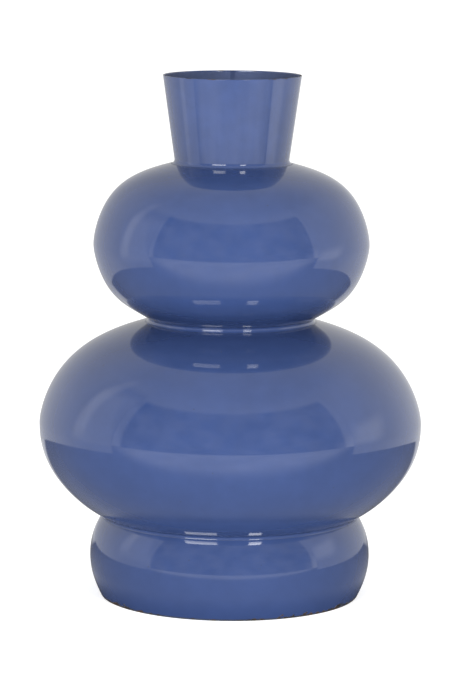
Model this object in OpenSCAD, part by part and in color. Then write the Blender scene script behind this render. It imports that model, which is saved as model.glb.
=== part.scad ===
// Three-tiered flower vase of enamelled sheet iron.
// Spun half-domes, a rolled conical neck and a convex foot band are welded into one
// watertight body. Every piece is turned about the Z axis; the vase rests on z = 0.

/* [Overall] */
// Height from the rest face to the rim
height = 382; // [372:1:395]
// Thickness of the sheet with its enamel
wall = 1; // [0.8:0.1:1.4]

/* [Foot] */
// Greatest diameter of the foot band
foot_d = 206; // [202:1:212]
// Diameter of the foot band where it rests
foot_base_d = 189.6; // [186:0.2:193]
// Diameter of the joint between the foot band and the lower bulb
foot_joint_d = 186.4; // [184:0.2:189]
// Height of the foot band's widest line
foot_z = 30.3; // [28:0.1:33]
// Radius of the foot band's shoulder, in section
foot_shoulder_r = 51; // [49:0.5:54]

/* [Lower bulb] */
// Greatest diameter of the lower bulb
lower_d = 280; // [272:1:288]
// Height of the lower bulb's widest line
lower_z = 128; // [124:0.5:132]

/* [Waist] */
// Diameter of the crease between the two bulbs
waist_d = 116; // [110:1:122]
// Height of the crease between the two bulbs
waist_z = 203.5; // [200:0.5:207]

/* [Upper bulb] */
// Greatest diameter of the upper bulb
upper_d = 201.6; // [196:0.2:207]
// Height of the upper bulb's widest line
upper_z = 259; // [256:0.5:262]

/* [Neck] */
// Diameter of the neck where it meets the upper bulb
neck_d = 83; // [78:1:88]
// Height of the joint between the neck and the upper bulb
neck_z = 318.5; // [314:0.5:323]
// Diameter of the rim
rim_d = 101; // [94:1:108]

/* [Welds] */
// Width of the neck weld on each side of its corner
neck_weld_leg = 2.8; // [2.4:0.1:5]
// Width of the waist weld on each side of its corner
waist_weld_leg = 4.8; // [4:0.1:7]
// Width of the foot weld on each side of its corner
foot_weld_leg = 2.2; // [1.6:0.1:3.5]
// Gap that is left between two sheet edges before they are welded
root_gap = 0.8; // [0.6:0.1:1]
// Half width of the bead inside each bulb's widest line
girth_bead_half = 2.4; // [1.6:0.1:3]
// Height of the beads inside the bulbs and the neck
bead_rise = 0.8; // [0.5:0.1:1.2]
// Width of the neck's upright seam
seam_w = 3; // [2:0.5:5]

/* [Base plate] */
// Thickness of the base plate
base_t = 1.2; // [1:0.1:1.6]
// Rise of the base plate's middle above the rest face
base_rise = 3; // [2:0.5:5]
// Width of the flat ring that the base plate rests on
base_ring_w = 12; // [8:1:20]
// Width of the slope between the ring and the raised middle
base_slope_w = 14; // [10:1:20]
// Width of the base weld on each side of its corner
base_weld_leg = 2.6; // [2:0.1:3]

/* [Hidden] */
$fn = 120;

// Shape of each spun section between its widest line and its joint. The five numbers
// place the inner control points of a quartic curve, as fractions of the section's
// width and height: [knuckle up, haunch across, haunch up, crown across, crown up].
FOOT_UNDER = [0.377, 0.683, 0.577, 0.44, 0.767];
LOWER_UNDER = [0.422, 0.761, 0.584, 0.434, 0.88];
LOWER_OVER = [0.152, 0.87, 0.667, 0.549, 0.84];
UPPER_UNDER = [0.18, 0.78, 0.758, 0.524, 0.74];
UPPER_OVER = [0.244, 0.831, 0.682, 0.681, 0.838];

// Steps along a section, and along the face of a weld
section_steps = 24;
weld_steps = 8;

// Distance from the foot band's axis to the centre of its shoulder arc
shoulder_c = foot_d / 2 - foot_shoulder_r;
// Angle at which the shoulder arc reaches the lower bulb
shoulder_a = acos((foot_joint_d / 2 - shoulder_c) / foot_shoulder_r);
// Height of the joint between the foot band and the lower bulb
foot_joint_z = foot_z + foot_shoulder_r * sin(shoulder_a);

bulb_blue = [0.37, 0.44, 0.65];
foot_blue = [0.3, 0.37, 0.56];
weld_blue = [0.25, 0.32, 0.52];
base_grey = [0.13, 0.14, 0.19];

// ---- curves ----

function unit(v) = v / norm(v);
function reverse(list) = [for (i = [len(list) - 1:-1:0]) list[i]];
function mix(a, b, t) = a + (b - a) * t;

// Point of a Bezier curve, from its control points c
function bez(c, t) =
    len(c) == 1 ? c[0] : bez([for (i = [0:len(c) - 2]) mix(c[i], c[i + 1], t)], t);

// Direction of a Bezier curve, towards its end
function heading(c, t) =
    unit(bez([for (i = [1:len(c) - 1]) c[i]], t) - bez([for (i = [0:len(c) - 2]) c[i]], t));

// Point on the inner face of a sheet whose outer face is the curve c
function inner(c, t) =
    let (h = heading(c, t), side = sign(c[1].y - c[0].y))
    bez(c, t) + wall * side * [-h.y, h.x];

// Parameter of the point at a distance along a curve from its start or before its end
function from_start(c, d) = d / ((len(c) - 1) * norm(c[1] - c[0]));
function before_end(c, d) = 1 - d / ((len(c) - 1) * norm(c[len(c) - 1] - c[len(c) - 2]));

// Control points of a spun section, from its widest line to its joint
function spun(r_wide, z_wide, r_joint, z_joint, f) =
    let (w = r_wide - r_joint, h = z_joint - z_wide) [
        [r_wide, z_wide],
        [r_wide, z_wide + f[0] * h],
        [r_joint + f[1] * w, z_wide + f[2] * h],
        [r_joint + f[3] * w, z_wide + f[4] * h],
        [r_joint, z_joint]
    ];

// Control points of an arc that leaves p towards u and reaches q against v
function arc_between(p, u, q, v) =
    let (
        half = acos(u * v) / 2,
        r = norm(p - q) / (2 * cos(half)),
        pull = 4 / 3 * tan((90 - half) / 2) * r
    ) [p, p + pull * u, q + pull * v, q];

// Parameters of the points that a section is drawn through
function stations(c, bead, leg) =
    let (first = from_start(c, bead), toe = before_end(c, leg), clear = 0.4 / section_steps)
    concat(
        [0, first],
        [for (i = [1:section_steps - 1]) let (t = i / section_steps)
            if (t > first + clear && t < toe - clear) t],
        [toe, before_end(c, root_gap)]
    );

// ---- sections of the pieces ----

foot_under = spun(foot_d / 2, foot_z, foot_base_d / 2, 0, FOOT_UNDER);
foot_over = arc_between(
    [foot_d / 2, foot_z], [0, 1],
    [foot_joint_d / 2, foot_joint_z], [sin(shoulder_a), -cos(shoulder_a)]
);
lower_under = spun(lower_d / 2, lower_z, foot_joint_d / 2, foot_joint_z, LOWER_UNDER);
lower_over = spun(lower_d / 2, lower_z, waist_d / 2, waist_z, LOWER_OVER);
upper_under = spun(upper_d / 2, upper_z, waist_d / 2, waist_z, UPPER_UNDER);
upper_over = spun(upper_d / 2, upper_z, neck_d / 2, neck_z, UPPER_OVER);
neck_line = [[rim_d / 2, height], [neck_d / 2, neck_z]];

// Closed outline of a spun sheet
function sheet(c, leg) =
    let (at = stations(c, girth_bead_half, leg))
    concat([for (t = at) bez(c, t)], [for (t = reverse(at)) inner(c, t)]);

// Closed outline of the weld that joins the ends of the sheets a and b
function corner_weld(a, b, leg) =
    let (
        toe_a = before_end(a, leg),
        toe_b = before_end(b, leg),
        root_a = before_end(a, root_gap),
        root_b = before_end(b, root_gap),
        face = arc_between(bez(b, toe_b), heading(b, toe_b), bez(a, toe_a), heading(a, toe_a)),
        crest = (inner(a, root_a) + inner(b, root_b)) / 2 - [bead_rise, 0]
    ) concat(
        [bez(a, root_a), inner(a, root_a), crest, inner(b, root_b), bez(b, root_b)],
        [for (i = [0:weld_steps]) bez(face, i / weld_steps)]
    );

// Closed outline of the bead inside the widest line that the sheets a and b share
function girth_bead(a, b) =
    let (
        low = inner(a, from_start(a, girth_bead_half)),
        high = inner(b, from_start(b, girth_bead_half)),
        pull = [-bead_rise * 4 / 3, 0],
        face = [low, low + pull, high + pull, high]
    ) concat([inner(a, 0)], [for (i = [0:weld_steps]) bez(face, i / weld_steps)]);

// Foot band's inner face at its lower edge, and where the base weld reaches up to on it
base_toe = inner(foot_under, before_end(foot_under, base_t + base_weld_leg));
base_edge = let (end = inner(foot_under, 1)) mix(base_toe, end, base_toe.y / (base_toe.y - end.y));

// Point on the foot band's inner face at a height below the base weld's top
function band_inside(z) = mix(base_edge, base_toe, z / base_toe.y);

module turn(outline) {
    rotate_extrude() polygon(outline);
}

// ---- pieces ----

module base_plate() {
    ring_r = base_edge.x - base_ring_w;
    flat_r = ring_r - base_slope_w;
    color(base_grey) turn([
        [0, base_rise],
        [flat_r, base_rise],
        [ring_r, 0],
        band_inside(0),
        band_inside(base_t),
        [ring_r, base_t],
        [flat_r, base_rise + base_t],
        [0, base_rise + base_t]
    ]);
}

module base_weld() {
    corner = band_inside(base_t);
    toe = [corner.x - base_weld_leg, base_t];
    face = arc_between(toe, [1, 0], base_toe, unit(corner - base_toe));
    color(weld_blue) turn(concat([corner], [for (i = [0:weld_steps]) bez(face, i / weld_steps)]));
}

module foot_band() {
    under = [for (i = [0:section_steps]) i / section_steps];
    toe = before_end(foot_under, base_t + base_weld_leg);
    over = stations(foot_over, girth_bead_half, foot_weld_leg);
    color(foot_blue) turn(concat(
        [for (t = reverse(under)) bez(foot_under, t)],
        [for (t = over) if (t > 0) bez(foot_over, t)],
        [for (t = reverse(over)) inner(foot_over, t)],
        [for (t = under) if (t > 0 && t < toe) inner(foot_under, t)],
        [base_toe, base_edge]
    ));
}

module foot_weld() {
    color(weld_blue) turn(corner_weld(lower_under, foot_over, foot_weld_leg));
}

module lower_bulb_bottom() {
    color(bulb_blue) turn(sheet(lower_under, foot_weld_leg));
}

module lower_girth_weld() {
    color(weld_blue) turn(girth_bead(lower_under, lower_over));
}

module lower_bulb_top() {
    color(bulb_blue) turn(sheet(lower_over, waist_weld_leg));
}

module waist_weld() {
    color(weld_blue) turn(corner_weld(upper_under, lower_over, waist_weld_leg));
}

module upper_bulb_bottom() {
    color(bulb_blue) turn(sheet(upper_under, waist_weld_leg));
}

module upper_girth_weld() {
    color(weld_blue) turn(girth_bead(upper_under, upper_over));
}

module upper_bulb_top() {
    color(bulb_blue) turn(sheet(upper_over, neck_weld_leg));
}

module neck_weld() {
    color(weld_blue) turn(corner_weld(neck_line, upper_over, neck_weld_leg));
}

// Outline of the neck's wall, thickened on the inside by some extra
function neck_wall(extra) =
    let (
        toe = before_end(neck_line, neck_weld_leg),
        root = before_end(neck_line, root_gap),
        taper = atan((rim_d - neck_d) / 2 / (height - neck_z))
    ) [
        neck_line[0],
        neck_line[0] - [(wall + extra) / cos(taper), 0],
        mix(bez(neck_line, root), inner(neck_line, root), 1 + extra / wall),
        bez(neck_line, root),
        bez(neck_line, toe)
    ];

// Part of a turn about the axis that the upright seam takes
seam_a = 2 * asin(seam_w / (rim_d + neck_d) * 2);

module neck_sleeve() {
    color(bulb_blue)
        rotate([0, 0, 90 + seam_a / 2])
            rotate_extrude(angle = 360 - seam_a) polygon(neck_wall(0));
}

module neck_seam_weld() {
    color(weld_blue)
        rotate([0, 0, 90 - seam_a / 2])
            rotate_extrude(angle = seam_a) polygon(neck_wall(bead_rise));
}

base_plate();
base_weld();
foot_band();
foot_weld();
lower_bulb_bottom();
lower_girth_weld();
lower_bulb_top();
waist_weld();
upper_bulb_bottom();
upper_girth_weld();
upper_bulb_top();
neck_weld();
neck_sleeve();
neck_seam_weld();
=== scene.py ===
import math

import bpy
import numpy as np
from mathutils import Matrix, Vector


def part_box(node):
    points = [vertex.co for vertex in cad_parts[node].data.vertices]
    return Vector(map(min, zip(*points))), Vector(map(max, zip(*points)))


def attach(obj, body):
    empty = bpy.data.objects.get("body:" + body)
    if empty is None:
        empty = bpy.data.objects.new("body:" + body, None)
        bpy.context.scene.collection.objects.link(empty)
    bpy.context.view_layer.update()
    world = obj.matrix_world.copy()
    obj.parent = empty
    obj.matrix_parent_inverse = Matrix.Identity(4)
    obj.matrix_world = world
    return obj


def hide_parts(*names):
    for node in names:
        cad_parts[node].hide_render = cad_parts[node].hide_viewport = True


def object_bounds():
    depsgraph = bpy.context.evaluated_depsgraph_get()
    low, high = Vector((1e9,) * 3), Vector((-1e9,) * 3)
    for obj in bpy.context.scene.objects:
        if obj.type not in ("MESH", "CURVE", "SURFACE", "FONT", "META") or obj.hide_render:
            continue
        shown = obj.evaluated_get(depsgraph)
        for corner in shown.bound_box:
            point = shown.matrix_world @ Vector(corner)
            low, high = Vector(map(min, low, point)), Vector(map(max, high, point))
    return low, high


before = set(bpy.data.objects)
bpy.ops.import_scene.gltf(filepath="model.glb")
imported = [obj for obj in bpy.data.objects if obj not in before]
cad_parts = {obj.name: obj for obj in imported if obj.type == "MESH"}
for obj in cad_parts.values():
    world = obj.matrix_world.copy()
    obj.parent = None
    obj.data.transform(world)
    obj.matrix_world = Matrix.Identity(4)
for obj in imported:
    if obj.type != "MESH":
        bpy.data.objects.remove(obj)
cad_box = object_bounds()

MM = 0.001
BODY = "root"

# The skin of the vase
TURN_STEPS = 256  # faces round the vase
ROW_STEP = 1.6 * MM  # height of a row of faces on the outside
INNER_ROW_STEP = 3.2 * MM  # and on the inside, which is hardly seen
WELD_ROW_STEP = 0.4 * MM  # and on a weld's small round face
EDGE_RADIUS = 0.42 * MM  # enamel rounds every bare sheet edge
EDGE_STEPS = 5
CORNER_TURN = math.radians(28)  # a sharper turn than this is a corner of a section
SAME_RING = 0.04 * MM  # vertices this near in radius and height lie on one ring
SAME_PLACE = 0.05 * MM
SHARED_RING = 0.005 * MM  # strips whose end rings are this near share one ring
LEAST_KEPT = 1.2  # a corner's rounding clears the rows within this many times its size

# How far the spun and welded sheet departs from a true turned shape
WAVE_SEED = 11
WAVES = (  # length, depth and number of each family of waves
    (150 * MM, 0.150 * MM, 5),
    (62 * MM, 0.044 * MM, 6),
    (27 * MM, 0.0110 * MM, 8),
)
WAVE_PROBE = 0.4 * MM
WAVE_SPREAD = (0.8, 1.25)  # lengths in a family differ by these factors
WAVE_LEAN = 0.8  # keeps the waves' fronts a little more upright
REST_BLEND = 12 * MM  # waves fade out towards the rest face over this height

# The neck's butt seam, ground flush outside
SEAM_HOLLOW = 0.05 * MM
SEAM_STEPS = 12
SEAM_RIPPLE = 0.15  # share of the bead inside that comes and goes
SEAM_RIPPLE_LENGTH = 2.6 * MM
SEAM_DRESSED = 22 * MM  # the bead is dressed flush this far below the rim

# The pressed base plate
PRESSED_TURN = math.radians(5)
PRESSED_BEND = 3.5 * MM
CUT_EDGE = 0.25 * MM
CUT_WIDTH = 2 * MM  # corners this near the plate's edge are cut and not pressed


def new_object(name, data):
    """An object with this data, in the scene."""
    obj = bpy.data.objects.new(name, data)
    bpy.context.scene.collection.objects.link(obj)
    return obj


# Reading the sections back from the frame


def vertex_places(obj):
    """Every vertex of an object, as rows of x, y, z."""
    places = np.empty(len(obj.data.vertices) * 3)
    obj.data.vertices.foreach_get("co", places)
    return places.reshape(-1, 3)


def read_rings(obj):
    """The rings (radius, height) that a turned node's vertices lie on, and each vertex's ring."""
    places = vertex_places(obj)
    flat = np.stack([np.hypot(places[:, 0], places[:, 1]), places[:, 2]], 1)
    cells, cell_of = np.unique(np.round(flat / SAME_RING), axis=0, return_inverse=True)
    cell_of = cell_of.ravel()
    rings = []
    ring_of_cell = np.empty(len(cells), int)
    for cell in range(len(cells)):
        place = flat[cell_of == cell].mean(0)
        near = [i for i, ring in enumerate(rings) if np.hypot(*(place - ring)) < SAME_RING]
        if not near:
            rings.append(place)
        ring_of_cell[cell] = near[0] if near else len(rings) - 1
    return np.array(rings), ring_of_cell[cell_of]


def counter_clockwise(points):
    """The same outline, walked so that the solid is on the left."""
    r, z = points[:, 0], points[:, 1]
    area = np.sum(r * np.roll(z, -1) - np.roll(r, -1) * z)
    return points if area > 0 else points[::-1]


def section(node):
    """A turned node's section, as points (radius, height) in order round it."""
    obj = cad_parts[node]
    rings, ring_of = read_rings(obj)
    ends = np.empty(len(obj.data.edges) * 2, int)
    obj.data.edges.foreach_get("vertices", ends)
    links = {i: set() for i in range(len(rings))}
    for a, b in np.unique(ring_of[ends].reshape(-1, 2), axis=0):
        if a != b:
            links[a].add(b)
            links[b].add(a)
    start = min(links, key=lambda i: (len(links[i]), rings[i][0]))
    walk = [start]
    while True:
        onward = [i for i in links[walk[-1]] if i not in walk]
        if not onward:
            break
        walk.append(min(onward, key=lambda i: np.hypot(*(rings[i] - rings[walk[-1]]))))
    return counter_clockwise(rings[walk])


def convex_section(node):
    """The section of a rolled sheet, which has no hollow, as points in order round it."""
    rings, _ = read_rings(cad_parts[node])
    away = rings - rings.mean(0)
    return rings[np.argsort(np.arctan2(away[:, 1], away[:, 0]))]


# Smooth runs through the points of a section


def unit_rows(rows):
    """The same rows, each of length 1."""
    return rows / np.maximum(np.linalg.norm(rows, axis=1, keepdims=True), 1e-12)


def split_at_corners(points, least_turn=CORNER_TURN):
    """The outline's runs between its corners. Each run holds both of its end points."""
    before = unit_rows(points - np.roll(points, 1, 0))
    after = unit_rows(np.roll(points, -1, 0) - points)
    turn = np.arccos(np.clip((before * after).sum(1), -1, 1))
    corners = [i for i in range(len(points)) if turn[i] > least_turn]
    runs = []
    for start, stop in zip(corners, corners[1:] + [corners[0] + len(points)]):
        runs.append(points[np.arange(start, stop + 1) % len(points)])
    return runs


def run_tangents(points):
    """Unit tangents of a smooth run: those of the parabola through each three points."""
    if len(points) == 2:
        return unit_rows(np.repeat(points[1:] - points[:1], 2, 0))
    steps = np.linalg.norm(np.diff(points, axis=0), axis=1)
    slopes = np.diff(points, axis=0) / steps[:, None]
    left, right = steps[:-1, None], steps[1:, None]
    middle = (slopes[:-1] * right + slopes[1:] * left) / (left + right)
    first = 2 * slopes[0] - middle[0]
    last = 2 * slopes[-1] - middle[-1]
    return unit_rows(np.vstack([first, middle, last]))


class Run:
    """A smooth stretch of a section, with its points and the tangent at each."""

    def __init__(self, node, points):
        self.node = node
        self.points = points
        self.tangents = run_tangents(points)

    def sample(self, step):
        """Points and tangents about a step apart, on Hermite curves between the run's own points."""
        places, tangents = [self.points[:1]], [self.tangents[:1]]
        for i in range(len(self.points) - 1):
            a, b = self.points[i], self.points[i + 1]
            chord = np.linalg.norm(b - a)
            ta, tb = self.tangents[i] * chord, self.tangents[i + 1] * chord
            pieces = max(1, round(chord / step))
            t = (np.arange(1, pieces + 1) / pieces)[:, None]
            places.append(
                a * (2 * t**3 - 3 * t**2 + 1)
                + ta * (t**3 - 2 * t**2 + t)
                + b * (3 * t**2 - 2 * t**3)
                + tb * (t**3 - t**2)
            )
            tangents.append(
                (b - a) * (6 * t - 6 * t**2) + ta * (3 * t**2 - 4 * t + 1) + tb * (3 * t**2 - 2 * t)
            )
        return np.vstack(places), unit_rows(np.vstack(tangents))


def share_tangents(runs):
    """Gives runs that meet end to end, or end on the side of another, the same tangent there."""
    wanted = []
    for run in runs:
        for end in (0, -1):
            place, own = run.points[end], run.tangents[end]
            for other in runs:
                if other.node == run.node or len(run.points) == 2:
                    continue
                gaps = np.linalg.norm(other.points - place, axis=1)
                at = int(gaps.argmin())
                along = float(other.tangents[at] @ own)
                if gaps[at] > SAME_PLACE or abs(along) < math.cos(CORNER_TURN):
                    continue
                theirs = other.tangents[at] * math.copysign(1, along)
                inside = 0 < at < len(other.points) - 1
                weight = 1.0 if inside or len(other.points) > 2 * len(run.points) else 0.5
                wanted.append((run, end, own * (1 - weight) + theirs * weight))
    for run, end, tangent in wanted:
        run.tangents[end] = tangent / np.linalg.norm(tangent)


# The waves of hand-finished sheet


def wave_table():
    """Each wave's direction with its length in it, depth and two phases."""
    draw = np.random.default_rng(WAVE_SEED)
    rows = []
    for length, depth, count in WAVES:
        for _ in range(count):
            way = draw.normal(size=3)
            way[2] *= WAVE_LEAN
            way *= 2 * math.pi / (length * draw.uniform(*WAVE_SPREAD) * np.linalg.norm(way))
            rows.append((way, depth / count, draw.uniform(0, 2 * math.pi, 2)))
    return rows


WAVE_TABLE = wave_table()
WAVE_DEPTH = sum(depth for _, depth, _ in WAVE_TABLE)


def drift(places):
    """How far each place moves: inwards and down, never beyond the true shape."""
    side = np.full(len(places), WAVE_DEPTH)
    down = np.full(len(places), WAVE_DEPTH)
    for way, depth, phase in WAVE_TABLE:
        side += depth * np.sin(places @ way + phase[0])
        down += depth * np.sin(places @ way + phase[1])
    radius = np.maximum(np.hypot(places[:, 0], places[:, 1]), 1e-6)
    lift = np.clip(places[:, 2] / REST_BLEND, 0, 1)
    lift = lift * lift * (3 - 2 * lift)
    inward = -side * np.clip(radius / REST_BLEND, 0, 1) / radius
    return np.stack([places[:, 0] * inward, places[:, 1] * inward, -down * lift], 1)


def drifted(places, normals):
    """Places and normals once the drift has moved them."""
    moved = drift(places)
    turned = normals.copy()
    for axis in range(3):
        probe = np.zeros(3)
        probe[axis] = WAVE_PROBE
        change = (drift(places + probe) - drift(places - probe)) / (2 * WAVE_PROBE)
        turned[:, axis] -= (change * normals).sum(1)
    return places + moved, unit_rows(turned)


# Turning a section into a closed mesh


def bend(corner, way_in, way_out, radius):
    """A rounded corner: places and tangents on the curve that cuts it off."""
    t = np.linspace(0, 1, EDGE_STEPS + 1)[:, None]
    start, stop = corner - way_in * radius, corner + way_out * radius
    places = start * (1 - t) ** 2 + corner * 2 * t * (1 - t) + stop * t**2
    return places, unit_rows((corner - start) * (1 - t) + (stop - corner) * t)


def rounding_at(place, rounded):
    """How much of each side a rounded corner at this place takes, or nothing."""
    sizes = [size for corner, size in rounded if np.hypot(*(place - corner)) < SAME_PLACE]
    return sizes[0] if sizes else 0


def strips(runs, steps, rounded, linings):
    """The outline as strips of (places, tangents, is lining), with the given corners rounded."""
    sampled = [run.sample(step) for run, step in zip(runs, steps)]
    out = []
    for i, (places, tangents) in enumerate(sampled):
        head, tail = rounding_at(places[0], rounded), rounding_at(places[-1], rounded)
        keep = np.linalg.norm(places - places[0], axis=1) >= LEAST_KEPT * head
        keep &= np.linalg.norm(places - places[-1], axis=1) >= LEAST_KEPT * tail
        kept, kept_tangents = [places[keep]], [tangents[keep]]
        if head:
            kept.insert(0, (places[0] + tangents[0] * head)[None])
            kept_tangents.insert(0, tangents[:1])
        if tail:
            kept.append((places[-1] - tangents[-1] * tail)[None])
            kept_tangents.append(tangents[-1:])
        out.append((np.vstack(kept), np.vstack(kept_tangents), linings[i]))
        if tail:
            onward = sampled[(i + 1) % len(sampled)][1][0]
            out.append((*bend(places[-1], tangents[-1], onward, tail), linings[i]))
    return out


def spread(flat, angles):
    """Rows (radius, height) turned to each of the angles, as rows of x, y, z, ring after ring."""
    x = flat[:, :1] * np.cos(angles)[None]
    y = flat[:, :1] * np.sin(angles)[None]
    z = np.repeat(flat[:, 1:], len(angles), 1)
    return np.stack([x, y, z], 2).reshape(-1, 3)


def build_mesh(name, places, faces, normals, lining):
    """A mesh from arrays, with a normal for each face corner and the lining mark on each vertex."""
    mesh = bpy.data.meshes.new(name)
    mesh.from_pydata(places.tolist(), [], faces)
    mesh.polygons.foreach_set("use_smooth", np.ones(len(mesh.polygons), bool))
    mark = mesh.attributes.new("lining", "FLOAT", "POINT")
    mark.data.foreach_set("value", lining.astype(np.float32))
    mesh.update()
    mesh.normals_split_custom_set(normals.tolist())
    return new_object(name, mesh)


def merge_rings(outline):
    """The outline's rings, a 1 for each that is lining, and the ring numbers of each strip.

    A ring that two strips share, or that closes the outline, is kept once."""
    rings, ring_lining, strip_rings = [], [], []
    for places, _, lining in outline:
        ids = []
        for place in places:
            if rings and np.hypot(*(rings[-1] - place)) < SHARED_RING:
                ids.append(len(rings) - 1)
            elif len(rings) > 2 and np.hypot(*(rings[0] - place)) < SHARED_RING:
                ids.append(0)
            else:
                rings.append(place)
                ring_lining.append(lining)
                ids.append(len(rings) - 1)
        strip_rings.append(ids)
    return np.array(rings), np.array(ring_lining, float), strip_rings


def band_corners(steps, around, on_axis):
    """The corners of the faces between two rings, in order round a face.

    Each is the ring (0 or 1), the column of its vertex and the column of its normal. The faces are
    triangles where one ring is a point on the axis."""
    onward, pole = (steps + 1) % around, 0 * steps
    if on_axis[0]:
        return [(0, pole, steps), (1, onward, onward), (1, steps, steps)]
    if on_axis[1]:
        return [(0, steps, steps), (0, onward, onward), (1, pole, steps)]
    return [(0, steps, steps), (0, onward, onward), (1, onward, onward), (1, steps, steps)]


def end_caps(rings, angles):
    """A flat face over each end of an open sweep, and the normals of its corners."""
    faces, normals = [], []
    for column, sign in ((0, 1), (len(angles) - 1, -1)):
        order = np.arange(len(rings))[::sign] * len(angles) + column
        faces.append(order.tolist())
        side = sign * np.array([math.sin(angles[column]), -math.cos(angles[column]), 0])
        normals.append(np.repeat(side[None], len(rings), 0))
    return faces, normals


def lathe(name, outline, angles, closed=True):
    """Turns a closed outline of strips. Neighbouring strips share their end ring.

    Where closed is False the sweep stops at the last angle, and a flat cap closes each end."""
    around = len(angles)
    rings, ring_lining, strip_rings = merge_rings(outline)
    base, _ = drifted(spread(rings, angles), np.zeros((len(rings) * around, 3)))
    steps = np.arange(around if closed else around - 1)
    faces, corner_normals = [], []
    for (places, tangents, _), ids in zip(outline, strip_rings):
        out = np.stack([tangents[:, 1], -tangents[:, 0]], 1)
        _, normals = drifted(spread(places, angles), spread(out, angles))
        normals = normals.reshape(len(places), around, 3)
        for row, pair in enumerate(zip(ids, ids[1:])):
            if pair[0] == pair[1]:
                continue
            corners = band_corners(steps, around, [rings[ring][0] < SAME_PLACE for ring in pair])
            block = [pair[end] * around + column for end, column, _ in corners]
            shade = [normals[row + end, column] for end, _, column in corners]
            faces.extend(np.stack(block, 1).tolist())
            corner_normals.append(np.stack(shade, 1).reshape(-1, 3))
    if not closed:
        cap_faces, cap_normals = end_caps(rings, angles)
        faces += cap_faces
        corner_normals += cap_normals
    lining = np.repeat(ring_lining, around)
    used = np.unique(np.concatenate([np.array(face) for face in faces]))
    renumber = np.full(len(base), -1)
    renumber[used] = np.arange(len(used))
    faces = [[int(renumber[i]) for i in face] for face in faces]
    return build_mesh(name, base[used], faces, np.vstack(corner_normals), lining[used])


# The pieces

FULL_TURN = np.arange(TURN_STEPS) * 2 * math.pi / TURN_STEPS
BACK = math.pi / 2  # the direction of the neck's seam, seen from above

SHELLS = {
    "foot_band": "enamel_foot",
    "lower_bulb_bottom": "enamel_bulb",
    "lower_bulb_top": "enamel_bulb",
    "upper_bulb_bottom": "enamel_bulb",
    "upper_bulb_top": "enamel_bulb",
}
OUTSIDE_WELDS = ("foot_weld", "waist_weld", "neck_weld")
INSIDE_WELDS = ("base_weld", "lower_girth_weld", "upper_girth_weld")


def longest_run(group):
    """The run with the most points, which is a weld's round face."""
    return max(group, key=lambda run: len(run.points))


def outer_of(group):
    """The run of a wall that reaches furthest out."""
    long_runs = [run for run in group if len(run.points) > 2]
    return max(long_runs, key=lambda run: run.points[:, 0].max())


def is_lining(node, run, group):
    """True for a run on the inside of the vase, or hidden in a joint."""
    if node in OUTSIDE_WELDS:
        return run is not longest_run(group)
    if node in INSIDE_WELDS:
        return True
    return len(run.points) > 2 and run is not outer_of(group)


def row_step(node, lining):
    """The height of a row of faces on this run."""
    if node in OUTSIDE_WELDS + INSIDE_WELDS:
        return WELD_ROW_STEP
    return INNER_ROW_STEP if lining else ROW_STEP


def bare_edges(node, group):
    """The corners of a node that stand free, such as the rim, with how much rounding takes off."""
    corners = np.array([run.points[0] for run in group])
    if node == "foot_band":
        bare = corners[corners[:, 1] < SAME_PLACE]
    elif node in ("neck_sleeve", "neck_seam_weld"):
        bare = corners[corners[:, 1] > corners[:, 1].max() - SAME_PLACE]
    else:
        bare = corners[:0]
    return [(corner, EDGE_RADIUS) for corner in bare]


def turned_piece(node, group, angles=FULL_TURN, closed=True):
    """A node's smooth piece, turned from its section's runs."""
    linings = [is_lining(node, run, group) for run in group]
    steps = [row_step(node, lining) for lining in linings]
    outline = strips(group, steps, bare_edges(node, group), linings)
    return lathe(node + "_skin", outline, angles, closed)


def finish_piece(piece, node, slot):
    """Puts a piece on the body, in place of its node, with its finish."""
    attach(piece, BODY)
    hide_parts(node)
    piece.data.materials.append(FINISHES[slot])


def all_runs():
    """Every turned node's runs, with shared tangents where they meet."""
    runs = {}
    for node in (*SHELLS, *OUTSIDE_WELDS, *INSIDE_WELDS):
        runs[node] = [Run(node, points) for points in split_at_corners(section(node))]
    for node in ("neck_sleeve", "neck_seam_weld"):
        runs[node] = [Run(node, points) for points in split_at_corners(convex_section(node))]
    share_tangents([run for node in runs if node != "neck_seam_weld" for run in runs[node]])
    return runs


def seam_half_angle():
    """Half the angle that the neck's seam weld covers."""
    places = vertex_places(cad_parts["neck_seam_weld"])
    return np.abs(np.arctan2(places[:, 1], places[:, 0]) - BACK).max()


def make_neck(runs):
    """The rolled sleeve, open at its seam, and the weld that closes it."""
    half = seam_half_angle()
    round_the_front = np.linspace(BACK + half, BACK + 2 * math.pi - half, TURN_STEPS)
    sleeve = turned_piece("neck_sleeve", runs["neck_sleeve"], round_the_front, closed=False)
    finish_piece(sleeve, "neck_sleeve", "enamel_neck")
    across = np.linspace(BACK - half, BACK + half, SEAM_STEPS + 1)
    seam = turned_piece("neck_seam_weld", runs["neck_seam_weld"], across, closed=False)
    shape_seam(seam, half)
    finish_piece(seam, "neck_seam_weld", "enamel_weld")


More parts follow.
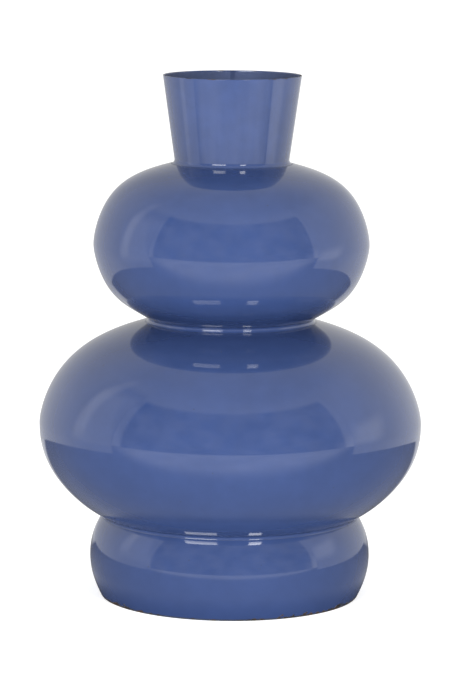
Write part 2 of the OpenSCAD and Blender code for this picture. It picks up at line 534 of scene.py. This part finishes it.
def shape_seam(seam, half):
    """Hollows the ground face a little and crowns the bead inside."""
    rise = rim_inside("neck_sleeve") - rim_inside("neck_seam_weld")
    places = vertex_places(seam)
    lining = np.empty(len(places))
    seam.data.attributes["lining"].data.foreach_get("value", lining)
    across = (np.arctan2(places[:, 1], places[:, 0]) - BACK) / half
    crown = 1 - np.clip(across, -1, 1) ** 2
    ripple = 1 - SEAM_RIPPLE * (0.5 + 0.5 * np.cos(places[:, 2] * 2 * math.pi / SEAM_RIPPLE_LENGTH))
    below_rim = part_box("neck_seam_weld")[1].z - places[:, 2]
    dressed = np.clip((below_rim - SEAM_DRESSED) / SEAM_DRESSED, 0, 1)
    crown_inside = crown * ripple * dressed
    outward = np.where(lining > 0.5, rise * (1 - crown_inside), -SEAM_HOLLOW * crown)
    radius = np.hypot(places[:, 0], places[:, 1])
    places[:, :2] *= (1 + outward / radius)[:, None]
    seam.data.vertices.foreach_set("co", places.ravel())
    seam.data.normals_split_custom_set([(0, 0, 0)] * len(seam.data.loops))
    seam.data.set_sharp_from_angle(angle=CORNER_TURN)
    seam.data.update()


def rim_inside(node):
    """The radius of a node's inner edge at the rim."""
    rings, _ = read_rings(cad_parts[node])
    return rings[rings[:, 1] > rings[:, 1].max() - SAME_PLACE][:, 0].min()


def make_base_plate():
    """The pressed disc: its section runs from the axis to the foot and back."""
    path = section("base_plate")
    path = path[path[:, 0] > SAME_PLACE]
    rim = path[:, 0].max()
    poles = [np.array([0.0, path[end, 1]]) for end in (0, -1)]
    path = np.vstack([poles[0], path, poles[1]])
    runs = [Run("base_plate", points) for points in split_at_corners(path, PRESSED_TURN)]
    runs = [run for run in runs if run.points[[0, -1], 0].max() > SAME_PLACE]
    while runs[0].points[0, 0] > SAME_PLACE:
        runs = runs[1:] + runs[:1]
    rounded = []
    for run in runs[1:]:
        corner = run.points[0]
        rounded.append((corner, CUT_EDGE if corner[0] > rim - CUT_WIDTH else PRESSED_BEND))
    steps = [INNER_ROW_STEP] * len(runs)
    outline = strips(runs, steps, rounded, [False] * len(runs))
    finish_piece(lathe("base_plate_skin", outline, FULL_TURN), "base_plate", "ground_coat")


# Materials


def add(tree, kind, inputs=None, **settings):
    """Adds a shader node with its settings and inputs, and returns its outputs."""
    made = tree.nodes.new("ShaderNode" + kind)
    for key, value in settings.items():
        setattr(made, key, value)
    for key, value in (inputs or {}).items():
        if isinstance(value, bpy.types.NodeSocket):
            tree.links.new(value, made.inputs[key])
        else:
            made.inputs[key].default_value = value
    return made.outputs


def calc(tree, operation, *values):
    """A sum of one kind, on numbers or outputs."""
    return add(tree, "Math", dict(enumerate(values)), operation=operation)[0]


def span(tree, value, low, high, bottom=0.0, top=1.0):
    """Maps low..high smoothly to bottom..top, and holds beyond."""
    inputs = {
        "Value": value,
        "From Min": low,
        "From Max": high,
        "To Min": bottom,
        "To Max": top,
    }
    return add(tree, "MapRange", inputs, interpolation_type="SMOOTHSTEP")[0]


def mix_colour(tree, amount, first, second):
    """first where amount is 0, and second where it is 1."""
    made = tree.nodes.new("ShaderNodeMix")
    made.data_type = "RGBA"
    for index, value in ((0, amount), (6, first), (7, second)):
        if isinstance(value, bpy.types.NodeSocket):
            tree.links.new(value, made.inputs[index])
        else:
            made.inputs[index].default_value = value
    return made.outputs[2]


def noise(tree, where, size, detail=2.0, shift=0.0):
    """Noise with features about this size, in metres."""
    moved = add(tree, "VectorMath", {0: where, 1: (shift, shift, shift)}, operation="ADD")[0]
    inputs = {"Vector": moved, "Scale": 1 / size, "Detail": detail, "Roughness": 0.5}
    return add(tree, "TexNoise", inputs)[0]


def colour(r, g, b):
    """An opaque colour."""
    return (r, g, b, 1.0)


def scaled(base, factor):
    """The same colour, lighter or darker by a factor."""
    return colour(*(channel * factor for channel in base[:3]))


ENAMEL = colour(0.0214, 0.0376, 0.1045)
LINING = colour(0.026, 0.038, 0.084)
GROUND = colour(0.020, 0.024, 0.034)
IRON = colour(0.018, 0.014, 0.012)
RUST = colour(0.042, 0.024, 0.017)

GLASS_IOR = 1.5
MOTTLE = {"enamel_bulb": 0.055, "enamel_neck": 0.10, "enamel_foot": 0.055, "enamel_weld": 0.055}
CLOUD_SIZE, BLOT_SIZE, GRAIN_SIZE = 38 * MM, 9 * MM, 1.1 * MM
CLOUD_SHARE, BLOT_SHARE, GRAIN_SHARE = 0.5, 0.35, 0.15

CHIP_SIZE, KNOCK_SIZE = 4.5 * MM, 60 * MM  # a chip, and the stretches of edge that have chips
CHIP_REACH = 4.5 * MM  # how far chips, thin enamel and the painted contact shade reach up from the foot's lower edge
RIM_REACH = 0.9 * MM  # and down from the rim
RIM_WEAR = 0.7  # wear at the rim, where the foot's lower edge is 1
KNOCK_SHARE, EDGE_SHARE = 0.60, 0.26  # how much stretches and closeness to the edge bring on chips
CHIP_LEVEL = (0.975, 0.995)
PIT_SPACING, PIT_EDGE = 17 * MM, (0.018, 0.034)

GLOSS_RANGE = (0.045, 0.085)  # roughness of the outside
LINING_ROUGHER = 0.55
WORN_ROUGHNESS = 0.7
SMEAR_SIZE = 24 * MM
PEEL_SIZE, PEEL_DEPTH = 7 * MM, 0.012 * MM
PIT_DEPTH, CHIP_DEPTH = 0.05 * MM, 0.25 * MM


def new_material(name):
    """A material with an empty tree, and the tree."""
    made = bpy.data.materials.new(name)
    made.use_nodes = True
    tree = made.node_tree
    tree.nodes.clear()
    return made, tree


def set_surface(tree, shader):
    """Makes a shader the material's surface."""
    out = tree.nodes.new("ShaderNodeOutputMaterial")
    tree.links.new(shader, out.inputs["Surface"])


def finish_shader(tree, base, roughness, relief):
    """The Principled shader that every finish ends in. Relief is a height in metres."""
    bump = add(tree, "Bump", {"Height": relief, "Strength": 1.0, "Distance": 1.0})[0]
    inputs = {"Base Color": base, "Roughness": roughness, "Normal": bump, "IOR": GLASS_IOR}
    set_surface(tree, add(tree, "BsdfPrincipled", inputs)[0])


def edge_closeness(tree, height):
    """1 at the foot's lower edge and a little less at the rim, falling to 0 away from them."""
    low, high = cad_box[0].z, cad_box[1].z
    near_foot = span(tree, height, low, low + CHIP_REACH, 1.0, 0.0)
    near_rim = span(tree, height, high - RIM_REACH, high, 0.0, RIM_WEAR)
    return calc(tree, "MAXIMUM", near_foot, near_rim)


def enamel_tone(tree, where):
    """How light the enamel's mottling is, from 0 to 1."""
    clouds = calc(tree, "MULTIPLY", noise(tree, where, CLOUD_SIZE, 3.0), CLOUD_SHARE)
    blots = calc(tree, "MULTIPLY", noise(tree, where, BLOT_SIZE, 4.0, 1.0), BLOT_SHARE)
    grain = calc(tree, "MULTIPLY", noise(tree, where, GRAIN_SIZE, 2.0, 2.0), GRAIN_SHARE)
    tone = calc(tree, "ADD", calc(tree, "ADD", clouds, blots), grain)
    return span(tree, tone, 0.34, 0.66)


def chipping(tree, where, close):
    """1 where the enamel is chipped off."""
    flakes = noise(tree, where, CHIP_SIZE, 5.0, 3.0)
    knocks = calc(tree, "MULTIPLY", noise(tree, where, KNOCK_SIZE, 2.0, 6.0), KNOCK_SHARE)
    chip = calc(tree, "ADD", flakes, knocks)
    chip = calc(tree, "ADD", chip, calc(tree, "MULTIPLY", close, EDGE_SHARE))
    return calc(tree, "MULTIPLY", span(tree, chip, *CHIP_LEVEL), span(tree, close, 0.02, 0.08))


def enamel(name, mottle):
    """Glossy blue enamel on iron: mottled, with pinholes, chips, a greyer lining and thin dark edges.
    At the foot's lower edge that dark band is also painted contact shade.
    """
    made, tree = new_material(name)
    where = add(tree, "TexCoord")["Object"]
    height = add(tree, "SeparateXYZ", {0: where})[2]
    lining = span(tree, add(tree, "Attribute", attribute_name="lining")["Fac"], 0.02, 0.2)

    tone = enamel_tone(tree, where)
    coat = mix_colour(tree, tone, scaled(ENAMEL, 1 - mottle), scaled(ENAMEL, 1 + mottle))
    inside = mix_colour(tree, tone, scaled(LINING, 1 - 2 * mottle), scaled(LINING, 1 + 2 * mottle))
    coat = mix_colour(tree, lining, coat, inside)

    pits = add(tree, "TexVoronoi", {"Vector": where, "Scale": 1 / PIT_SPACING})[0]
    pit = span(tree, pits, *PIT_EDGE, 1.0, 0.0)
    coat = mix_colour(tree, calc(tree, "MULTIPLY", pit, 0.75), coat, GROUND)

    close = edge_closeness(tree, height)
    chip = chipping(tree, where, close)
    # Painted contact shade: this dark band along the foot's lower edge stands in for the shade where
    # the foot meets the table, besides the real thin enamel at the foot's and rim's edges.
    thin = calc(tree, "MULTIPLY", span(tree, close, 0.62, 0.97), 0.8)
    coat = mix_colour(tree, thin, coat, GROUND)
    rusty = span(tree, noise(tree, where, BLOT_SIZE, 4.0, 1.0), 0.45, 0.62)
    coat = mix_colour(tree, chip, coat, mix_colour(tree, rusty, IRON, RUST))

    gloss = span(tree, noise(tree, where, SMEAR_SIZE, 3.0, 4.0), 0.35, 0.7, *GLOSS_RANGE)
    gloss = calc(tree, "ADD", gloss, calc(tree, "MULTIPLY", lining, LINING_ROUGHER))
    worn = calc(tree, "MAXIMUM", chip, thin)
    gloss = calc(tree, "MAXIMUM", gloss, calc(tree, "MULTIPLY", worn, WORN_ROUGHNESS))

    relief = calc(tree, "MULTIPLY", noise(tree, where, PEEL_SIZE, 2.0, 5.0), PEEL_DEPTH)
    relief = calc(tree, "SUBTRACT", relief, calc(tree, "MULTIPLY", pit, PIT_DEPTH))
    relief = calc(tree, "SUBTRACT", relief, calc(tree, "MULTIPLY", chip, CHIP_DEPTH))
    finish_shader(tree, coat, gloss, relief)
    return made


def ground_coat(name):
    """The thin dark first coat under the base: satin, speckled, with a little rust."""
    made, tree = new_material(name)
    where = add(tree, "TexCoord")["Object"]
    clouds = noise(tree, where, 22 * MM, 4.0)
    specks = noise(tree, where, 0.9 * MM, 1.0, 3.0)
    base = mix_colour(tree, span(tree, clouds, 0.3, 0.7), scaled(GROUND, 0.8), scaled(GROUND, 1.7))
    base = mix_colour(tree, span(tree, specks, 0.62, 0.70), base, scaled(ENAMEL, 0.7))
    rust = span(tree, noise(tree, where, 13 * MM, 6.0, 5.0), 0.62, 0.68)
    base = mix_colour(tree, calc(tree, "MULTIPLY", rust, 0.6), base, RUST)
    satin = span(tree, clouds, 0.3, 0.7, 0.28, 0.42)
    rough = calc(tree, "ADD", satin, calc(tree, "MULTIPLY", rust, 0.3))
    relief = calc(tree, "MULTIPLY", noise(tree, where, 2.5 * MM, 4.0, 7.0), 0.05 * MM)
    finish_shader(tree, base, rough, relief)
    return made


FINISHES = {name: enamel(name, mottle) for name, mottle in MOTTLE.items()}
FINISHES["ground_coat"] = ground_coat("ground_coat")


def make_pieces():
    """All fourteen pieces of the vase."""
    runs = all_runs()
    for node, slot in SHELLS.items():
        finish_piece(turned_piece(node, runs[node]), node, slot)
    for node in OUTSIDE_WELDS + INSIDE_WELDS:
        finish_piece(turned_piece(node, runs[node]), node, "enamel_weld")
    make_neck(runs)
    make_base_plate()


# The studio: a pale floor for everything, and soft panels that only show in the gloss

FLOOR_REACH = 18.0
FLOOR_SIDES = 64
FLOOR_DARK, FLOOR_LIGHT = colour(0.93, 0.93, 0.935), colour(0.95, 0.95, 0.95)
FLOOR_ROUGHNESS = 0.9
FLOOR_GLOW = 0.40
SKY_LEVEL = 0.78


def staged_mesh(name, places, faces):
    """A mesh that belongs to the studio."""
    mesh = bpy.data.meshes.new(name)
    mesh.from_pydata(places, [], faces)
    mesh.update()
    obj = new_object(name, mesh)
    return obj


def panel(name, corners):
    """A flat panel from its corners."""
    return staged_mesh(name, corners, [tuple(range(len(corners)))])


def sweep_mesh(name, columns):
    """A sheet of quads between columns of places, all of the same length."""
    count = len(columns[0])
    places = [place for column in columns for place in column]
    faces = []
    for i in range(len(columns) - 1):
        for j in range(count - 1):
            a, b = i * count + j, (i + 1) * count + j
            faces.append((a, b, b + 1, a + 1))
    return staged_mesh(name, places, faces)


def only_in_gloss(obj):
    """Keeps a panel out of sight and out of the soft light, so that only reflections show it."""
    obj.visible_camera = False
    obj.visible_diffuse = False
    obj.visible_transmission = False
    obj.visible_volume_scatter = False
    obj.visible_shadow = False


def glow(name, level_at, clear=False):
    """A material that shines at level_at(tree, place). A clear one hides nothing behind it."""
    made, tree = new_material(name)
    where = add(tree, "TexCoord")["Object"]
    shader = add(tree, "Emission", {"Strength": level_at(tree, where)})[0]
    if clear:
        through = add(tree, "BsdfTransparent")[0]
        shader = add(tree, "AddShader", {0: shader, 1: through})[0]
    set_surface(tree, shader)
    made.cycles.emission_sampling = "NONE"
    return made


def window(tree, value, low, high, soft):
    """1 between low and high, with soft edges, and 0 outside."""
    rise = span(tree, value, low - soft, low + soft)
    fall = span(tree, value, high - soft, high + soft, 1.0, 0.0)
    return calc(tree, "MULTIPLY", rise, fall)


def make_floor():
    """Pale paper that the vase stands on and that fills the background."""
    corners = [
        (FLOOR_REACH * math.cos(a), FLOOR_REACH * math.sin(a), 0)
        for a in np.arange(FLOOR_SIDES) * 2 * math.pi / FLOOR_SIDES
    ]
    floor = panel("floor", corners)
    made, tree = new_material("floor_paper")
    where = add(tree, "TexCoord")["Object"]
    fibre = span(tree, noise(tree, where, 3 * MM, 3.0), 0.3, 0.7)
    base = mix_colour(tree, fibre, FLOOR_DARK, FLOOR_LIGHT)
    inputs = {"Base Color": base, "Roughness": FLOOR_ROUGHNESS, "Emission Strength": FLOOR_GLOW}
    inputs["Emission Color"] = colour(1, 1, 1)
    set_surface(tree, add(tree, "BsdfPrincipled", inputs)[0])
    floor.data.materials.append(made)


# Levels of the room's parts, where white paper is 1. Directions are in degrees: round the vase,
# where 0 is towards the camera and positive is to its right, and above the horizon

ROOM_RADIUS = 2.2
ROOM_STEPS = (48, 24)
ROOM_CENTRE = 0.2
ROOM_CLOUD = 0.5
WALL_RADIUS = 0.60
WALL_TOP = 1.4
WALL_STEPS = 48
WALL_SIDE, WALL_BACK = 1.15, 0.66
WALL_TURNS = (105, 172)  # the wall falls from its side level to its back level between these
WALL_SLANT = (-80, 80, 0.97, 1.12)  # it is a little brighter on the right
CEILING, CEILING_RISES = 0.92, (36, 60)
OPENING_LOW, OPENING_HIGH = 0.26, 0.62
OPENING_EDGES, OPENING_SOFT = (-66, 70), 1.2
OPENING_TOP, OPENING_TOP_SOFT = 43, 2

# Low azimuth, high, softness, low rise, high, softness, what the patch adds, and its lean with height
ROOM_PATCHES = (
    (70, 93, 7, -7, 9, 5, 0.85, 0.4),  # lit, low on the right
    (-97, -88, 3, -8, 46, 9, 0.6, 0.0),  # a lit strip, far on the left
    (-90, -66, 3, -12, 32, 4, 0.3, -0.3),  # a fainter one beside it
    (-96, -60, 6, 37, 44, 4, -0.35, 0.0),  # a dark corner above them
)


def directions(tree, where):
    """The azimuth and elevation, in degrees, of a place seen from the middle of the vase."""
    x, y, z = add(tree, "SeparateXYZ", {0: where})[:3]
    azimuth = calc(tree, "ARCTAN2", x, calc(tree, "MULTIPLY", y, -1.0))
    flat = calc(tree, "ADD", calc(tree, "MULTIPLY", x, x), calc(tree, "MULTIPLY", y, y))
    rise = calc(tree, "ARCTAN2", z, calc(tree, "SQRT", flat))
    return [calc(tree, "MULTIPLY", angle, 180 / math.pi) for angle in (azimuth, rise)]


def lerp(tree, first, amount, second):
    """first where amount is 0, and second where it is 1."""
    keep = calc(tree, "MULTIPLY", first, calc(tree, "SUBTRACT", 1.0, amount))
    return calc(tree, "ADD", keep, calc(tree, "MULTIPLY", amount, second))


def patched(tree, level, azimuth, rise, patch):
    """The level with one of the ROOM_PATCHES added."""
    *spot, extra, lean = patch
    leaned = calc(tree, "SUBTRACT", azimuth, calc(tree, "MULTIPLY", rise, lean))
    across = window(tree, leaned, *spot[:3])
    upward = window(tree, rise, *spot[3:])
    inside = calc(tree, "MULTIPLY", across, upward)
    return calc(tree, "ADD", level, calc(tree, "MULTIPLY", inside, extra))


def room_level(tree, where):
    """White walls and ceiling, and a dim opening in front with lit patches at its sides."""
    azimuth, rise = directions(tree, where)
    cloud = noise(tree, where, ROOM_CLOUD, 2.0)
    turned_away = calc(tree, "ABSOLUTE", azimuth)
    wall = span(tree, turned_away, *WALL_TURNS, WALL_SIDE, WALL_BACK)
    wall = calc(tree, "MULTIPLY", wall, span(tree, azimuth, *WALL_SLANT))
    level = lerp(tree, wall, span(tree, rise, *CEILING_RISES), CEILING)
    across = window(tree, azimuth, *OPENING_EDGES, OPENING_SOFT)
    top = (OPENING_TOP - OPENING_TOP_SOFT, OPENING_TOP + OPENING_TOP_SOFT)
    inside = calc(tree, "MULTIPLY", across, span(tree, rise, *top, 1.0, 0.0))
    level = lerp(tree, level, inside, span(tree, cloud, 0.3, 0.7, OPENING_LOW, OPENING_HIGH))
    for patch in ROOM_PATCHES:
        level = patched(tree, level, azimuth, rise, patch)
    return calc(tree, "MULTIPLY", level, span(tree, cloud, 0.2, 0.8, 0.94, 1.06))


def ball_columns(radius, around, up):
    """The places of a ball's mesh, column by column from pole to pole."""
    columns = []
    for turn in np.arange(around + 1) * 2 * math.pi / around:
        column = []
        for tilt in math.pi * (np.arange(up + 1) / up - 0.5):
            flat = radius * math.cos(tilt)
            column.append((flat * math.cos(turn), flat * math.sin(turn), radius * math.sin(tilt)))
        columns.append(column)
    return columns


def make_room(finish):
    """A ball far round the vase, for the opening and ceiling, and the near wall behind and beside."""
    ball = sweep_mesh("room", ball_columns(ROOM_RADIUS, *ROOM_STEPS))
    left, right = (math.radians(edge) for edge in OPENING_EDGES)
    columns = []
    for turn in np.linspace(right, left + 2 * math.pi, WALL_STEPS):
        x, y = WALL_RADIUS * math.sin(turn), -WALL_RADIUS * math.cos(turn)
        columns.append([(x, y, -ROOM_CENTRE), (x, y, WALL_TOP - ROOM_CENTRE)])
    wall = sweep_mesh("room_wall", columns)
    for obj in (ball, wall):
        obj.location.z = ROOM_CENTRE
        obj.data.materials.append(finish)
        only_in_gloss(obj)


TABLE_LIFT = 0.3 * MM
TABLE_INNER = 95.1 * MM  # just clear of the foot's lower edge
TABLE_OUTER = 1.03 * ROOM_RADIUS
TABLE_STEPS = 128
TABLE_CLOUD = 0.22
TABLE_BRIGHT, TABLE_DIM, TABLE_SHADE, TABLE_BEHIND = 1.6, 0.46, 0.20, 0.9
TABLE_NEAR = (-0.42, -0.24)  # the bright front's two soft ends, along y
TABLE_FAR = (-1.3, -0.86)
TABLE_MIDDLE = (-64, 68, 16)  # and its sides, as azimuths with their softness
TABLE_ASIDE = (95, 145)  # azimuths over which the sides fall into shade
TABLE_REAR = (137, 142)  # and where the part behind the vase takes over
TABLE_OPENS = (0.16, 0.45)  # distances over which it brightens again behind
TABLE_CONTACT = (0.094, 0.125, 0.15, 1.0)  # the shade close round the foot


def table_level(tree, where):
    """The white table under the vase: bright in front and far behind, dim beside and close behind."""
    azimuth, _ = directions(tree, where)
    y = add(tree, "SeparateXYZ", {0: where})[1]
    away = add(tree, "VectorMath", {0: where}, operation="LENGTH")["Value"]
    turned_away = calc(tree, "ABSOLUTE", azimuth)
    cloud = noise(tree, where, TABLE_CLOUD, 3.0)
    front = calc(tree, "MULTIPLY", span(tree, y, *TABLE_NEAR, 1.0, 0.0), span(tree, y, *TABLE_FAR))
    bright = calc(tree, "MULTIPLY", front, window(tree, azimuth, *TABLE_MIDDLE))
    bright = calc(tree, "MULTIPLY", bright, span(tree, cloud, 0.3, 0.7, 0.8, 1.12))
    aside = span(tree, turned_away, *TABLE_ASIDE, TABLE_DIM, TABLE_SHADE)
    behind = span(tree, away, *TABLE_OPENS, TABLE_SHADE, TABLE_BEHIND)
    aside = lerp(tree, aside, span(tree, turned_away, *TABLE_REAR), behind)
    level = lerp(tree, aside, bright, TABLE_BRIGHT)
    return calc(tree, "MULTIPLY", level, span(tree, away, *TABLE_CONTACT))


def make_table():
    """What the gloss sees of the table, from the foot out to the room's edge."""
    columns = []
    for turn in np.arange(TABLE_STEPS + 1) * 2 * math.pi / TABLE_STEPS:
        x, y = math.cos(turn), math.sin(turn)
        columns.append([(x * r, y * r, TABLE_LIFT) for r in (TABLE_INNER, TABLE_OUTER)])
    table = sweep_mesh("table", columns)
    table.data.materials.append(glow("table_glow", table_level))
    only_in_gloss(table)


# The two soft boxes in front: azimuth, height, width, depth, power, and level in the gloss at the
# first bounce and at later ones

BOX_DISTANCE = 2.0
SOFT_BOXES = {
    "left": (-25.5, 0.66, 1.0, 0.84, 41.0, 11.0, 25.0),
    "right": (22.3, 0.67, 0.38, 0.86, 41.0, 11.0, 39.0),
}
BOX_JOINTS = ("neck_sleeve_skin", "neck_weld_skin", "waist_weld_skin", "foot_weld_skin")
BOX_GAP = 0.03  # between a soft box's two faces
FIRST_BOUNCE = 1.5  # a glossy depth below this is the first bounce


def box_level(level, first_bounce):
    """A soft box's level in the gloss, either at the first bounce only or at the later ones."""

    def level_at(tree, _):
        """The level, which is the same all over the face."""
        depth = add(tree, "LightPath")["Glossy Depth"]
        shown = calc(tree, "LESS_THAN" if first_bounce else "GREATER_THAN", depth, FIRST_BOUNCE)
        return calc(tree, "MULTIPLY", shown, level)

    return level_at


def make_lamp(name, stand, width, depth, power):
    """The soft box's own light, which the gloss doesn't see."""
    data = bpy.data.lights.new(name, "AREA")
    data.shape = "RECTANGLE"
    data.size, data.size_y = width, depth
    data.energy = power
    light = new_object(name, data)
    light.matrix_world = stand @ Matrix.Rotation(math.radians(90), 4, "X")
    light.visible_glossy = False
    light.visible_camera = False


def make_box_face(name, matrix, width, depth, level_at):
    """A clear face that only reflections show."""
    w, d = width / 2, depth / 2
    face = panel(name, [(-w, 0, -d), (w, 0, -d), (w, 0, d), (-w, 0, d)])
    face.matrix_world = matrix
    face.data.materials.append(glow(name, level_at, clear=True))
    only_in_gloss(face)
    return face


def make_soft_boxes():
    """Key lights whose image shows in the joints and in what the bulbs mirror of each other."""
    joints = bpy.data.collections.new("joints")
    for name in BOX_JOINTS:
        joints.objects.link(bpy.data.objects[name])
    for side, (azimuth, height, width, depth, power, first, later) in SOFT_BOXES.items():
        turn = math.radians(azimuth)
        centre = (BOX_DISTANCE * math.sin(turn), -BOX_DISTANCE * math.cos(turn), height)
        stand = Matrix.Translation(centre) @ Matrix.Rotation(turn, 4, "Z")
        make_lamp("box_" + side, stand, width, depth, power)
        front = make_box_face(f"box_{side}_first", stand, width, depth, box_level(first, True))
        front.light_linking.receiver_collection = joints
        behind = stand @ Matrix.Translation((0, BOX_GAP, 0))
        make_box_face(f"box_{side}_later", behind, width, depth, box_level(later, False))


def make_soft_light():
    """White from all round."""
    world = bpy.data.worlds.new("studio")
    bpy.context.scene.world = world
    world.use_nodes = True
    sky = world.node_tree.nodes["Background"]
    sky.inputs["Color"].default_value = colour(1, 1, 1)
    sky.inputs["Strength"].default_value = SKY_LEVEL


# The camera, as it stood for the picture

CAMERA_PLACE = (-0.6 * MM, -2425.2 * MM, 546.7 * MM)
CAMERA_TILT = math.radians(81.506)  # from straight down
CAMERA_ROLL = 0.0065
CAMERA_LENS = 175.0
CAMERA_CLIP = (0.05, 100)
SENSOR = 36.0


def make_camera():
    """The scene's camera."""
    data = bpy.data.cameras.new("camera")
    data.lens = CAMERA_LENS
    data.sensor_width = SENSOR
    data.clip_start, data.clip_end = CAMERA_CLIP
    camera = new_object("camera", data)
    tilt = Matrix.Rotation(CAMERA_TILT, 4, "X") @ Matrix.Rotation(CAMERA_ROLL, 4, "Z")
    camera.matrix_world = Matrix.Translation(CAMERA_PLACE) @ tilt
    bpy.context.scene.camera = camera


make_pieces()
make_floor()
make_room(glow("room_glow", room_level))
make_table()
make_soft_light()
make_soft_boxes()
make_camera()

scene = bpy.context.scene
scene.view_settings.view_transform = "Standard"
scene.view_settings.look = "None"
scene.cycles.use_denoising = True
